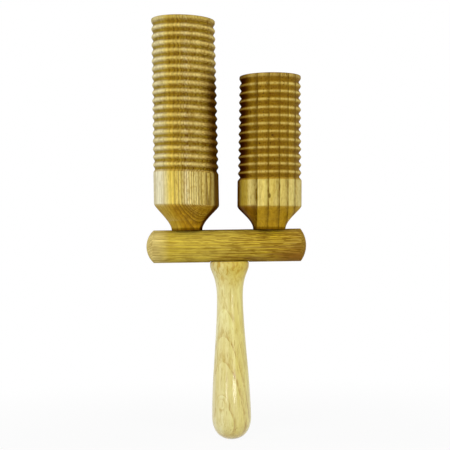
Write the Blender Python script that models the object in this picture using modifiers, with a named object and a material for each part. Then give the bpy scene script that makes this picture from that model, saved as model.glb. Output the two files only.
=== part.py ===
"""A double wood block: two ribbed, hollow blocks of turned wood on a crossbar with a handle.

Metres, +Z up. The origin is the middle of the handle, on its axis. The crossbar runs
along X, with the long block on the -X side and the short block on the +X side.

Each of the three joints has an empty on the flat seat that is cut in the crossbar. The
piece that stands on the seat, its dowel and the cutter for the seat are modelled along
the empty's +Z, which points out of the bar, and are parented to it.
"""
import math
from collections import namedtuple

import bpy
from mathutils import Vector
from mathutils.geometry import interpolate_bezier

# Joints
GLUE_GAP = 0.0003            # left between two pieces that are glued together
SEAT_DEPTH = 0.0005          # of the flat seats, below the crossbar's round surface
DOWEL_RADIUS = 0.0040
DOWEL_LENGTH = 0.0240
DOWEL_CHAMFER = 0.0006

# Crossbar, along X from the handle's axis
BAR_RADIUS = 0.01125
BAR_LEFT_REACH = 0.0570
BAR_RIGHT_REACH = 0.0530
BAR_LEFT_DOME = 0.0050
BAR_RIGHT_DOME = 0.0038

# Handle, measured from the flat face of its head
HANDLE_LENGTH = 0.1216
HEAD_RADIUS = 0.01335
HEAD_EDGE_ROUND = 0.0012
HEAD_BAND = 0.0024           # where the side of the head starts to turn in
HEAD_COVE_PULL = 0.0043      # Bezier handle of the cove, at the head
NECK_COVE_PULL = 0.0150      # Bezier handle of the cove, at the neck
NECK_RADIUS = 0.00895
NECK_PLACE = 0.0243
NECK_SWELL_PULL = 0.0244     # Bezier handle of the swell, at the neck
BULB_SWELL_PULL = 0.0250     # Bezier handle of the swell, at the bulb
BULB_RADIUS = 0.01345
BULB_PLACE = 0.1063
BULB_END_PULL = 0.0086       # Bezier handle of the round end, at the bulb
TIP_END_PULL = 0.0090        # Bezier handle of the round end, at the tip

# Both blocks, measured from the flat face of the foot
BORE_RADIUS = 0.0160
BORE_FLOOR = 0.0240          # height of the bore's flat floor
BORE_FLOOR_ROUND = 0.0010
BORE_MOUTH_ROUND = 0.0006
RIM_ROUND = 0.0007
FOOT_COVE_PULL = 0.0065      # Bezier handle of the foot's curve, at the foot
SHOULDER_PULL = 0.0027       # Bezier handle of the foot's curve, at the band

# Long block, to the left of the handle's axis
LONG_REACH = 0.0289          # along the crossbar
LONG_LEAN = -0.35            # degrees out of upright, towards +X
LONG_FOOT_RADIUS = 0.0106
LONG_FOOT_HEIGHT = 0.0178    # where the foot's curve meets the band
LONG_BAND_RADIUS = 0.02245
LONG_RIBS_START = 0.0416     # height of the lowest groove
LONG_RIB_COUNT = 19
LONG_RIB_PITCH = 0.00547
LONG_RIB_DEPTH = 0.00130
LONG_LOWEST_RIB_RADIUS = 0.02260
LONG_MOUTH_RADIUS = 0.02205  # of the top rib

# Short block, to the right of the handle's axis
SHORT_REACH = 0.0278
SHORT_LEAN = 1.15
SHORT_FOOT_RADIUS = 0.0112
SHORT_FOOT_HEIGHT = 0.0160
SHORT_BAND_RADIUS = 0.02212
SHORT_RIBS_START = 0.0358
SHORT_RIB_COUNT = 13
SHORT_RIB_PITCH = 0.00537
SHORT_RIB_DEPTH = 0.00150
SHORT_LOWEST_RIB_RADIUS = 0.02190
SHORT_MOUTH_RADIUS = 0.02120

Block = namedtuple("Block", "name place lean foot_radius foot_height band_radius ribs_start "
                            "rib_count rib_pitch rib_depth lowest_rib_radius mouth_radius")
LONG_BLOCK = Block("long_block", -LONG_REACH, math.radians(LONG_LEAN),
                   LONG_FOOT_RADIUS, LONG_FOOT_HEIGHT, LONG_BAND_RADIUS,
                   LONG_RIBS_START, LONG_RIB_COUNT, LONG_RIB_PITCH, LONG_RIB_DEPTH,
                   LONG_LOWEST_RIB_RADIUS, LONG_MOUTH_RADIUS)
SHORT_BLOCK = Block("short_block", SHORT_REACH, math.radians(SHORT_LEAN),
                    SHORT_FOOT_RADIUS, SHORT_FOOT_HEIGHT, SHORT_BAND_RADIUS,
                    SHORT_RIBS_START, SHORT_RIB_COUNT, SHORT_RIB_PITCH, SHORT_RIB_DEPTH,
                    SHORT_LOWEST_RIB_RADIUS, SHORT_MOUTH_RADIUS)

# Placed from the sizes above
SOCKET_RADIUS = DOWEL_RADIUS + GLUE_GAP
SOCKET_DEPTH = (DOWEL_LENGTH + GLUE_GAP) / 2
BAR_HEIGHT = HANDLE_LENGTH / 2 + GLUE_GAP - SEAT_DEPTH + BAR_RADIUS
SEAT_REACH = BAR_RADIUS - SEAT_DEPTH

# Faceting
TURNING_STEPS = 32
POINTS_PER_RIB = 4
CURVE_POINTS = 9
ARC_STEPS = 3
DOME_STEPS = 6
CREASE_ANGLE = math.radians(40)

# Linear base colour and roughness of the varnished wood
LONG_BLOCK_FINISH = ((0.52, 0.39, 0.14), 0.34)
SHORT_BLOCK_FINISH = ((0.46, 0.32, 0.10), 0.34)
CROSSBAR_FINISH = ((0.44, 0.31, 0.08), 0.36)
HANDLE_FINISH = ((0.70, 0.60, 0.30), 0.25)
DOWEL_FINISH = ((0.62, 0.47, 0.28), 0.60)


def clear_scene():
    for thing in list(bpy.data.objects):
        bpy.data.objects.remove(thing)


def new_collection(name):
    collection = bpy.data.collections.new(name)
    bpy.context.scene.collection.children.link(collection)
    return collection


def arc(centre, radius, start, end, steps=ARC_STEPS):
    """Points (radius, height) round a centre, with angles in degrees from straight out."""
    points = []
    for step in range(steps + 1):
        angle = math.radians(start + (end - start) * step / steps)
        points.append((centre[0] + radius * math.cos(angle),
                       centre[1] + radius * math.sin(angle)))
    return points


def curve(start, start_handle, end_handle, end):
    """Points of one Bezier stretch of an outline, both ends included."""
    knots = [Vector(point) for point in (start, start_handle, end_handle, end)]
    return [tuple(point) for point in interpolate_bezier(*knots, CURVE_POINTS)]


def socket_outline():
    """The blind hole for a dowel, from its mouth in a flat face to the axis."""
    return [(SOCKET_RADIUS, 0), (SOCKET_RADIUS, SOCKET_DEPTH), (0, SOCKET_DEPTH)]


def rib_outline(block):
    """Down the ribs, from the crest of the top one to the band's full radius."""
    points = []
    rib_span = block.rib_count * block.rib_pitch
    top_crest = block.rib_count * POINTS_PER_RIB - POINTS_PER_RIB // 2
    for index in range(top_crest, -POINTS_PER_RIB // 2 - 1, -1):
        turn = index / POINTS_PER_RIB
        rise = turn * block.rib_pitch
        share = max(rise, 0) / rib_span
        crest = block.lowest_rib_radius + share * (block.mouth_radius - block.lowest_rib_radius)
        groove = crest - block.rib_depth
        peak = crest if index > 0 else block.band_radius
        radius = groove + (peak - groove) * (1 - math.cos(2 * math.pi * turn)) / 2
        points.append((radius, block.ribs_start + rise))
    return points


def block_outline(block):
    """From the middle of the bore's floor, over the rim and down the outside."""
    rim = block.ribs_start + block.rib_count * block.rib_pitch
    bore = [(0, BORE_FLOOR)]
    bore += arc((BORE_RADIUS - BORE_FLOOR_ROUND, BORE_FLOOR + BORE_FLOOR_ROUND),
                BORE_FLOOR_ROUND, -90, 0)
    mouth = arc((BORE_RADIUS + BORE_MOUTH_ROUND, rim - BORE_MOUTH_ROUND),
                BORE_MOUTH_ROUND, 180, 90)
    mouth += arc((block.mouth_radius - RIM_ROUND, rim - RIM_ROUND), RIM_ROUND, 90, 0)
    foot = curve((block.band_radius, block.foot_height),
                 (block.band_radius, block.foot_height - SHOULDER_PULL),
                 (block.foot_radius, FOOT_COVE_PULL),
                 (block.foot_radius, 0))
    return bore + mouth + rib_outline(block) + foot + socket_outline()


def handle_outline():
    """From the tip, over the bulb and the neck to the head's flat face."""
    end = curve((0, HANDLE_LENGTH),
                (TIP_END_PULL, HANDLE_LENGTH),
                (BULB_RADIUS, BULB_PLACE + BULB_END_PULL),
                (BULB_RADIUS, BULB_PLACE))
    swell = curve((BULB_RADIUS, BULB_PLACE),
                  (BULB_RADIUS, BULB_PLACE - BULB_SWELL_PULL),
                  (NECK_RADIUS, NECK_PLACE + NECK_SWELL_PULL),
                  (NECK_RADIUS, NECK_PLACE))
    cove = curve((NECK_RADIUS, NECK_PLACE),
                 (NECK_RADIUS, NECK_PLACE - NECK_COVE_PULL),
                 (HEAD_RADIUS, HEAD_BAND + HEAD_COVE_PULL),
                 (HEAD_RADIUS, HEAD_BAND))
    edge = arc((HEAD_RADIUS - HEAD_EDGE_ROUND, HEAD_EDGE_ROUND), HEAD_EDGE_ROUND, 0, -90)
    return end + swell[1:] + cove[1:] + edge + socket_outline()


def dome_outline(dome):
    """Half a domed end, from its pole to the bar's surface, with the pole at height 0."""
    sphere = (BAR_RADIUS ** 2 + dome ** 2) / (2 * dome)
    edge = math.degrees(math.acos(BAR_RADIUS / sphere))
    return arc((0, -sphere), sphere, 90, edge, DOME_STEPS)


def crossbar_outline():
    """From the right end to the left one."""
    right = [(radius, BAR_RIGHT_REACH + height)
             for radius, height in dome_outline(BAR_RIGHT_DOME)]
    left = [(radius, -BAR_LEFT_REACH - height)
            for radius, height in dome_outline(BAR_LEFT_DOME)]
    return right + left[::-1]


def dowel_outline():
    top = (DOWEL_LENGTH + GLUE_GAP) / 2
    bottom = top - DOWEL_LENGTH
    flat = DOWEL_RADIUS - DOWEL_CHAMFER
    return [(0, top), (flat, top), (DOWEL_RADIUS, top - DOWEL_CHAMFER),
            (DOWEL_RADIUS, bottom + DOWEL_CHAMFER), (flat, bottom), (0, bottom)]


def seat_cutter_outline(face_radius):
    """A drill for a flat seat with a dowel socket below it, open above the bar."""
    seat_radius = face_radius + GLUE_GAP
    return [(0, BAR_RADIUS), (seat_radius, BAR_RADIUS), (seat_radius, 0),
            (SOCKET_RADIUS, 0), (SOCKET_RADIUS, -SOCKET_DEPTH), (0, -SOCKET_DEPTH)]


def turned(name, outline, collection, parent=None, base=0):
    """A piece turned round its own Z axis, with the outline raised by base."""
    mesh = bpy.data.meshes.new(name)
    edges = [(index, index + 1) for index in range(len(outline) - 1)]
    mesh.from_pydata([(radius, 0, base + height) for radius, height in outline], edges, [])
    piece = bpy.data.objects.new(name, mesh)
    collection.objects.link(piece)
    piece.parent = parent
    screw = piece.modifiers.new("Turning", "SCREW")
    screw.steps = TURNING_STEPS
    screw.render_steps = TURNING_STEPS
    screw.use_merge_vertices = True
    screw.merge_threshold = 0.00001
    return piece


def joint_above(name, place, lean, collection):
    """An empty on the middle of a seat on top of the crossbar."""
    empty = bpy.data.objects.new(name, None)
    collection.objects.link(empty)
    empty.location = (place, 0, BAR_HEIGHT + SEAT_REACH)
    empty.rotation_euler = (0, lean, 0)
    return empty


def joint_below(name, collection):
    """An empty on the middle of the handle's seat, upside down under the crossbar."""
    empty = bpy.data.objects.new(name, None)
    collection.objects.link(empty)
    empty.location = (0, 0, BAR_HEIGHT - SEAT_REACH)
    empty.rotation_euler = (math.pi, 0, 0)
    return empty


def cut(piece, cutter):
    cutter.hide_render = True
    cutter.display_type = "WIRE"
    boolean = piece.modifiers.new("Seat", "BOOLEAN")
    boolean.operation = "DIFFERENCE"
    boolean.solver = "EXACT"
    boolean.object = cutter


def finish(piece, colour, roughness):
    """Fix the turned shape, shade it smooth between its creases and give it its wood."""
    bpy.context.view_layer.update()
    depsgraph = bpy.context.evaluated_depsgraph_get()
    mesh = bpy.data.meshes.new_from_object(piece.evaluated_get(depsgraph))
    mesh.name = piece.name
    mesh.shade_smooth()
    mesh.set_sharp_from_angle(angle=CREASE_ANGLE)
    piece.modifiers.clear()
    piece.data = mesh
    material = bpy.data.materials.new(piece.name)
    material.use_nodes = True
    shader = material.node_tree.nodes["Principled BSDF"]
    shader.inputs["Base Color"].default_value = (*colour, 1)
    shader.inputs["Roughness"].default_value = roughness
    shader.inputs["Metallic"].default_value = 0
    mesh.materials.clear()
    mesh.materials.append(material)


def main():
    clear_scene()
    parts = new_collection("double_wood_block")
    cutters = new_collection("double_wood_block_cutters")

    crossbar = turned("crossbar", crossbar_outline(), parts)
    crossbar.location = (0, 0, BAR_HEIGHT)
    crossbar.rotation_euler = (0, math.pi / 2, 0)

    long_joint = joint_above("long_block_joint", LONG_BLOCK.place, LONG_BLOCK.lean, parts)
    short_joint = joint_above("short_block_joint", SHORT_BLOCK.place, SHORT_BLOCK.lean, parts)
    handle_joint = joint_below("handle_joint", parts)

    long_block = turned(LONG_BLOCK.name, block_outline(LONG_BLOCK), parts, long_joint, GLUE_GAP)
    short_block = turned(SHORT_BLOCK.name, block_outline(SHORT_BLOCK), parts, short_joint,
                         GLUE_GAP)
    handle = turned("handle", handle_outline(), parts, handle_joint, GLUE_GAP)
    dowels = [turned("long_block_dowel", dowel_outline(), parts, long_joint),
              turned("short_block_dowel", dowel_outline(), parts, short_joint),
              turned("handle_dowel", dowel_outline(), parts, handle_joint)]

    cut(crossbar, turned("long_block_seat", seat_cutter_outline(LONG_BLOCK.foot_radius),
                         cutters, long_joint))
    cut(crossbar, turned("short_block_seat", seat_cutter_outline(SHORT_BLOCK.foot_radius),
                         cutters, short_joint))
    cut(crossbar, turned("handle_seat", seat_cutter_outline(HEAD_RADIUS),
                         cutters, handle_joint))

    finish(long_block, *LONG_BLOCK_FINISH)
    finish(short_block, *SHORT_BLOCK_FINISH)
    finish(crossbar, *CROSSBAR_FINISH)
    finish(handle, *HANDLE_FINISH)
    for dowel in dowels:
        finish(dowel, *DOWEL_FINISH)


main()
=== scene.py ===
# %% [markdown]
# # A double wood block
# Two ribbed, hollow blocks of turned wood stand on a round crossbar, and a turned handle
# hangs from its middle. A player holds the handle, strikes the two blocks and rasps along
# their ribs with a stick. All four pieces come off a lathe, so this notebook turns them
# the way a wood turner does, then finishes each one in its own wood and varnish.
#
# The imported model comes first. It says where every piece sits, and the finer pieces that
# are turned here take the places of its plain ones.

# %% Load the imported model
import math
import random

import bmesh
import bpy
from mathutils import Matrix, Vector
from mathutils.geometry import interpolate_bezier


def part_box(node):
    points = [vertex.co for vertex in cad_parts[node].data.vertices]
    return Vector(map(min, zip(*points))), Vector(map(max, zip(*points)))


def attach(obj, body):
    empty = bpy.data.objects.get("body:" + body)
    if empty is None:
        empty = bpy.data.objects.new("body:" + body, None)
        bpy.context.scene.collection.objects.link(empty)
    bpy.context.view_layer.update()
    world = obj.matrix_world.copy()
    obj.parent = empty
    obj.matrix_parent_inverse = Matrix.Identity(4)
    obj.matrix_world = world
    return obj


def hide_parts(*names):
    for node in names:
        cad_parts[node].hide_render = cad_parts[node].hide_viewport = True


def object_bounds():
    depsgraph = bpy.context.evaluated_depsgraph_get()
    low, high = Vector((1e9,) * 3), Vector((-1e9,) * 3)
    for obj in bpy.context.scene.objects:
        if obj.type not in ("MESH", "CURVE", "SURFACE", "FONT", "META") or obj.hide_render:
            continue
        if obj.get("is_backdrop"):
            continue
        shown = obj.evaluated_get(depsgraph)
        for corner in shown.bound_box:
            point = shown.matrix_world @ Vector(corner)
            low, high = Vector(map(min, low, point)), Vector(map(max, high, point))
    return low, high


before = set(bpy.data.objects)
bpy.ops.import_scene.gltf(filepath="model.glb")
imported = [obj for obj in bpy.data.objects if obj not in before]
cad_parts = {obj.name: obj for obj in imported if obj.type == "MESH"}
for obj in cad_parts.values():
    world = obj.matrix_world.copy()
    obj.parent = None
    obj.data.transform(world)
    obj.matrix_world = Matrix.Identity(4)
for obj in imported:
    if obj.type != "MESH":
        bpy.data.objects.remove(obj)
model_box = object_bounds()
print("Pieces in the model:", ", ".join(sorted(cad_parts)))

# %% [markdown]
# The camera stands about a forearm and a stride away, level with the crossbar, and looks
# up a little. The instrument leans slightly in the picture, so the camera is rolled
# instead: the wood stays upright, and only the view tilts. A long lens keeps both blocks
# nearly free of perspective.

# %% Place the camera
CAMERA_PLACE = (-0.0001, -0.8600, 0.0653)
CAMERA_TURN = 0.0030         # radians to the left
CAMERA_RISE = 0.0243         # radians above the horizon
CAMERA_ROLL = -0.0139
LENS = 99.8                  # millimetres on the 36 mm sensor

camera = bpy.data.objects.new("camera", bpy.data.cameras.new("camera"))
bpy.context.scene.collection.objects.link(camera)
camera.data.lens = LENS
camera.matrix_world = (Matrix.Translation(CAMERA_PLACE)
                       @ Matrix.Rotation(CAMERA_TURN, 4, "Z")
                       @ Matrix.Rotation(math.pi / 2 + CAMERA_RISE, 4, "X")
                       @ Matrix.Rotation(CAMERA_ROLL, 4, "Z"))
bpy.context.scene.camera = camera
print("Camera at", CAMERA_PLACE, "with a lens of", LENS, "mm")

# %% [markdown]
# ## Node helpers
# Every finish below is a node tree, and small helpers keep them readable. They add a node
# and fill its inputs, do a sum, move a value to another range, lay colours over one
# another, and make a node group and place it in a material.

# %% Write the node helpers
def put(tree, kind, inputs=None, **settings):
    """Add a node, set its options, and fill its inputs with numbers or with sockets."""
    node = tree.nodes.new("ShaderNode" + kind)
    for name, value in settings.items():
        setattr(node, name, value)
    for name, value in (inputs or {}).items():
        if isinstance(value, bpy.types.NodeSocket):
            tree.links.new(value, node.inputs[name])
        else:
            node.inputs[name].default_value = value
    return node


def sums(tree, operation, first, second=0.0, third=0.0):
    """The result of one Math node."""
    return put(tree, "Math", {0: first, 1: second, 2: third}, operation=operation).outputs[0]


def times(tree, first, second):
    """The product of two values."""
    return sums(tree, "MULTIPLY", first, second)


def ranged(tree, value, low, high, bottom=0.0, top=1.0):
    """Value moved from low-high to bottom-top, smoothly, and kept between them."""
    inputs = {"Value": value, "From Min": low, "From Max": high, "To Min": bottom,
              "To Max": top}
    return put(tree, "MapRange", inputs, interpolation_type="SMOOTHSTEP").outputs["Result"]


def spread(tree, value, low, high):
    """Value moved evenly from low-high to 0-1."""
    inputs = {"Value": value, "From Min": low, "From Max": high}
    return put(tree, "MapRange", inputs).outputs["Result"]


def split(tree, vector):
    """The X, Y and Z of a vector."""
    return put(tree, "SeparateXYZ", {0: vector}).outputs


def mixed(tree, amount, first, second, blend="MIX"):
    """Two colours mixed by an amount from 0 to 1."""
    inputs = {"Factor": amount}
    for number, colour in ((6, first), (7, second)):
        inputs[number] = (*colour, 1) if isinstance(colour, tuple) else colour
    return put(tree, "Mix", inputs, data_type="RGBA", blend_type=blend).outputs[2]


def layered(tree, colour, layers):
    """Lay (amount, colour) or (amount, colour, blend) over a colour, one after another."""
    for layer in layers:
        colour = mixed(tree, layer[0], colour, *layer[1:])
    return colour


def group(name, inputs, outputs):
    """An empty node group with named inputs (kind, default) and outputs (kind)."""
    tree = bpy.data.node_groups.new(name, "ShaderNodeTree")
    for label, (kind, default) in inputs.items():
        socket = tree.interface.new_socket(label, in_out="INPUT", socket_type=kind)
        if default is not None:
            socket.default_value = default
    for label, kind in outputs.items():
        tree.interface.new_socket(label, in_out="OUTPUT", socket_type=kind)
    return tree, tree.nodes.new("NodeGroupInput").outputs, tree.nodes.new("NodeGroupOutput").inputs


def place_group(tree, source, inputs):
    """Put a finished group into a material with its own values."""
    return put(tree, "Group", inputs, node_tree=source).outputs


FLOAT, VECTOR = "NodeSocketFloat", "NodeSocketVector"
print("Node helpers ready")

# %% [markdown]
# ## Studio
# Turned wood is photographed inside a tent of soft boxes. Two tall ones flank the camera
# and light the front. Two large ones stand at the sides, where each block shades the
# flank of the other. A weak one hangs overhead for the upper edges of the ribs, and one
# stands behind. The left boxes are a little stronger, so the light has a direction.
#
# White cloth hangs in front of these six, so the varnish doesn't mirror them. Two small
# bare boxes stand low beside the camera, and they alone draw the pair of upright glints
# on the handle. All eight are area lamps.

# %% Hang the soft boxes
MIDDLE = Vector((0, 0, 0.08))    # of the instrument


def soft_box(name, place, width, height, power, mirrored=False):
    """An area lamp that faces the middle of the instrument."""
    lamp = bpy.data.lights.new(name, "AREA")
    lamp.shape = "RECTANGLE"
    lamp.size = width
    lamp.size_y = height
    lamp.energy = power
    box = bpy.data.objects.new(name, lamp)
    bpy.context.scene.collection.objects.link(box)
    box.location = place
    box.rotation_euler = (MIDDLE - Vector(place)).to_track_quat("-Z", "Y").to_euler()
    box.visible_glossy = mirrored
    return box


soft_box("left_front_box", (-0.50, -1.24, 0.34), 0.34, 0.85, 5.9)
soft_box("right_front_box", (0.60, -1.20, 0.34), 0.34, 0.85, 4.1)
soft_box("left_side_box", (-1.28, -0.02, 0.25), 0.90, 0.70, 8.0)
soft_box("right_side_box", (1.28, -0.02, 0.25), 0.90, 0.70, 6.8)
soft_box("overhead_box", (0.0, -0.70, 1.20), 1.00, 0.60, 4.2)
soft_box("back_box", (0.0, 1.30, 0.45), 1.00, 0.60, 4.0)
soft_box("left_glint_box", (-0.65, -1.17, 0.005), 0.26, 0.11, 0.7, mirrored=True)
soft_box("right_glint_box", (0.45, -1.26, 0.005), 0.42, 0.11, 1.9, mirrored=True)
print("Eight soft boxes")

# %% [markdown]
# The background is white paper. The world is plain white where the camera or a glossy
# reflection looks straight at it, and dimmer where it lights the wood, so the wood keeps
# its shading. Light Path tells these rays apart.

# %% Light the room
ROOM_LIGHT = 0.12                # strength of the world on the wood


def seen(tree):
    """1 where a camera, glossy or transmission ray looks straight at something, else 0."""
    rays = put(tree, "LightPath").outputs
    eye = sums(tree, "MAXIMUM", rays["Is Camera Ray"], rays["Is Glossy Ray"])
    return sums(tree, "MAXIMUM", eye, rays["Is Transmission Ray"])


world = bpy.data.worlds.new("white_room")
bpy.context.scene.world = world
world.use_nodes = True
sky = world.node_tree
sky.nodes.clear()
strength = put(sky, "MapRange", {"Value": seen(sky), "To Min": ROOM_LIGHT, "To Max": 1.0})
glow = put(sky, "Background", {"Color": (1, 1, 1, 1), "Strength": strength.outputs["Result"]})
put(sky, "OutputWorld", {"Surface": glow.outputs[0]})
bpy.context.scene.view_settings.view_transform = "Standard"
print("White room: strength 1 to the eye,", ROOM_LIGHT, "to the wood")

# %% [markdown]
# The floor is a sheet of the same white paper. Close to the instrument it shows a soft
# shadow, so there it is partly a lit, diffuse surface. Farther out it fades into the
# white of the room, and no horizon shows behind the crossbar.

# %% Lay the paper
PAPER_RADIUS = 6.0
FADE_START, FADE_END = 0.10, 0.45          # distances from the middle of the handle

paper_shape = bmesh.new()
bmesh.ops.create_circle(paper_shape, cap_ends=True, segments=64, radius=PAPER_RADIUS)
bmesh.ops.translate(paper_shape, verts=paper_shape.verts, vec=(0, 0, model_box[0][2]))
paper_mesh = bpy.data.meshes.new("paper")
paper_shape.to_mesh(paper_mesh)
paper_shape.free()
paper = bpy.data.objects.new("paper", paper_mesh)
bpy.context.scene.collection.objects.link(paper)
paper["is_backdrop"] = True

white = bpy.data.materials.new("white_paper")
white.use_nodes = True
tree = white.node_tree
tree.nodes.clear()
spot = put(tree, "TexCoord").outputs["Object"]
away = put(tree, "VectorMath", {0: spot, 1: (0, 0, 0)}, operation="DISTANCE").outputs["Value"]
glowing = times(tree, seen(tree), ranged(tree, away, FADE_START, FADE_END, 0.93, 1.0))
lit = put(tree, "BsdfDiffuse", {"Color": (0.78, 0.78, 0.77, 1)}).outputs[0]
bright = put(tree, "Emission", {"Strength": 1.0}).outputs[0]
paper_mix = put(tree, "MixShader", {0: glowing, 1: lit, 2: bright}).outputs[0]
put(tree, "OutputMaterial", {"Surface": paper_mix})
paper_mesh.materials.append(white)
print("Paper laid at height", round(model_box[0][2], 4))

# %% [markdown]
# ## The shapes
# A turner shapes a spinning blank from the side, so the side view is all that has to be
# drawn. Spinning that outline round an axis gives the whole piece at once. A cylinder
# with loop cuts could be pushed into shape as well, but the outline is closer to how the
# real piece is made, and each of its sizes stays a plain number.

# %% Set up the lathe
SHARP = math.radians(35)         # edges sharper than this aren't smoothed


def arc(centre, radius, start, end, steps=6):
    """Points (radius, height) round a centre, with angles in degrees from straight out."""
    angles = [math.radians(start + (end - start) * step / steps) for step in range(steps + 1)]
    return [(centre[0] + radius * math.cos(angle), centre[1] + radius * math.sin(angle))
            for angle in angles]


def curve(start, start_pull, end_pull, end, points=24):
    """One smooth stretch of an outline between two points."""
    knots = [Vector(knot) for knot in (start, start_pull, end_pull, end)]
    return [tuple(point) for point in interpolate_bezier(*knots, points)]


def turn(outline, steps=128):
    """Spin an outline of (radius, height) round Z. Both its ends lie on the axis."""
    shape = bmesh.new()
    points = [shape.verts.new((radius, 0, height)) for radius, height in outline]
    edges = [shape.edges.new(pair) for pair in zip(points, points[1:])]
    bmesh.ops.spin(shape, geom=points + edges, axis=(0, 0, 1), angle=2 * math.pi,
                   steps=steps, use_merge=True)
    bmesh.ops.remove_doubles(shape, verts=shape.verts, dist=0.000001)
    bmesh.ops.recalc_face_normals(shape, faces=shape.faces)
    return shape


def off_the_lathe(shape, name):
    """Make the turned shape an object, smooth between its sharp edges."""
    mesh = bpy.data.meshes.new(name)
    shape.to_mesh(mesh)
    shape.free()
    mesh.shade_smooth()
    mesh.set_sharp_from_angle(angle=SHARP)
    piece = bpy.data.objects.new(name, mesh)
    bpy.context.scene.collection.objects.link(piece)
    print(name, "has", len(mesh.polygons), "faces")
    return piece


# %% [markdown]
# ### Crossbar
# The bar is a plain rod with domed ends. The feet of the blocks and the head of the
# handle can't sit on a round rod, so a flat seat is cut for each of them, with a hole for
# its dowel. A Boolean does what the drill does.

# %% Turn the crossbar
BAR_LOW, BAR_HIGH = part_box("crossbar")
BAR_RADIUS = (BAR_HIGH.z - BAR_LOW.z) / 2
BAR_HEIGHT = (BAR_HIGH.z + BAR_LOW.z) / 2
BAR_CORNER = 0.0008
LEFT_DOME, RIGHT_DOME = 0.0050, 0.0038
SEAT_DEPTH = 0.0005
GLUE_GAP = 0.0003
GLUE_LINE = 0.00002              # what is left of the gap once the joint is pressed
JOINT = GLUE_LINE - GLUE_GAP     # height of a piece's glued face in its own outline
DOWEL_HOLE = (0.0043, 0.01215)   # radius and depth


def domed_end(dome):
    """From the pole of a domed end, at height 0, to the side of the bar."""
    sphere = (BAR_RADIUS ** 2 + dome ** 2) / (2 * dome)
    edge = math.acos((BAR_RADIUS - BAR_CORNER) / (sphere - BAR_CORNER))
    middle = (BAR_RADIUS - BAR_CORNER, -sphere + (sphere - BAR_CORNER) * math.sin(edge))
    return (arc((0, -sphere), sphere, 90, math.degrees(edge), 12)
            + arc(middle, BAR_CORNER, math.degrees(edge), 0)[1:])


right_end = [(radius, BAR_HIGH.x + height) for radius, height in domed_end(RIGHT_DOME)]
left_end = [(radius, BAR_LOW.x - height) for radius, height in domed_end(LEFT_DOME)]
bar_shape = turn(right_end + left_end[::-1])
bmesh.ops.rotate(bar_shape, verts=bar_shape.verts,
                 matrix=Matrix.Rotation(math.pi / 2, 3, "Y"))
bmesh.ops.translate(bar_shape, verts=bar_shape.verts, vec=(0, 0, BAR_HEIGHT))
crossbar = off_the_lathe(bar_shape, "turned_crossbar")

# %% [markdown]
# Each seat has a place on the bar and a lean. The same place and lean put the block or
# the handle on its seat later, so the joint always closes.

# %% Cut the seats
SEAT_TOP = BAR_HEIGHT + BAR_RADIUS - SEAT_DEPTH
SEAT_BOTTOM = BAR_HEIGHT - BAR_RADIUS + SEAT_DEPTH
LONG_PLACE, SHORT_PLACE = -0.0289, 0.0278        # along the bar
LONG_LEAN, SHORT_LEAN = math.radians(-0.35), math.radians(1.15)
LONG_SEAT = (Matrix.Translation((LONG_PLACE, 0, SEAT_TOP))
             @ Matrix.Rotation(LONG_LEAN, 4, "Y"))
SHORT_SEAT = (Matrix.Translation((SHORT_PLACE, 0, SEAT_TOP))
              @ Matrix.Rotation(SHORT_LEAN, 4, "Y"))
HANDLE_SEAT = Matrix.Translation((0, 0, SEAT_BOTTOM)) @ Matrix.Rotation(math.pi, 4, "X")


def cut_seat(seat, face_radius):
    """Drill a flat seat and its dowel hole into the crossbar."""
    hole, depth = DOWEL_HOLE
    wide = face_radius + GLUE_GAP
    drill = turn([(0, BAR_RADIUS), (wide, BAR_RADIUS), (wide, 0), (hole, 0), (hole, -depth),
                  (0, -depth)], 64)
    bmesh.ops.transform(drill, verts=drill.verts, matrix=seat)
    drill = off_the_lathe(drill, "drill")
    boring = crossbar.modifiers.new("seat", "BOOLEAN")
    boring.solver = "EXACT"
    boring.object = drill
    bpy.context.view_layer.update()
    bored = bpy.data.meshes.new_from_object(
        crossbar.evaluated_get(bpy.context.evaluated_depsgraph_get()))
    crossbar.modifiers.clear()
    crossbar.data = bored
    bpy.data.objects.remove(drill)


LONG_FOOT, SHORT_FOOT, HANDLE_HEAD = 0.0106, 0.0112, 0.01335
cut_seat(LONG_SEAT, LONG_FOOT)
cut_seat(SHORT_SEAT, SHORT_FOOT)
cut_seat(HANDLE_SEAT, HANDLE_HEAD)
crossbar.data.name = "turned_crossbar"
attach(crossbar, "root")
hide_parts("crossbar")
print("Three seats cut")

# %% [markdown]
# ### Blocks
# Each block is a tube with a bore that stops above its foot. The ribs are cut by eye on
# a real one, so no two grooves are quite as deep or as far apart. A seeded random number
# gives each rib its own small error, the same on every run. The cutter also crept a
# little farther up with each rib, which leaves a short land below the rim.
#
# The flanks of a rib are nearly straight, and only its crest and groove are rounded. The
# arcsine of a slightly reduced cosine gives that: a plain sine looks like a hose, and a
# zigzag like a screw.

# %% Draw the ribs
POINTS_PER_RIB = 14
SHARPNESS = 0.88                 # near 0 a rib is a plain sine, and at 1 a zigzag
RIB_ERROR = 0.00016              # how far a rib may be off its place
DEEPER = 500                     # share of its depth that a groove gains for each metre off
CREEP = 0.0010                   # how much too high the last rib is


def rib_wave(turn_share):
    """From 0 in a groove to 1 on a crest, for turn_share 0 to 1 and on."""
    bend = math.asin(SHARPNESS)
    return 0.5 - math.asin(SHARPNESS * math.cos(2 * math.pi * turn_share)) / (2 * bend)


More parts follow.
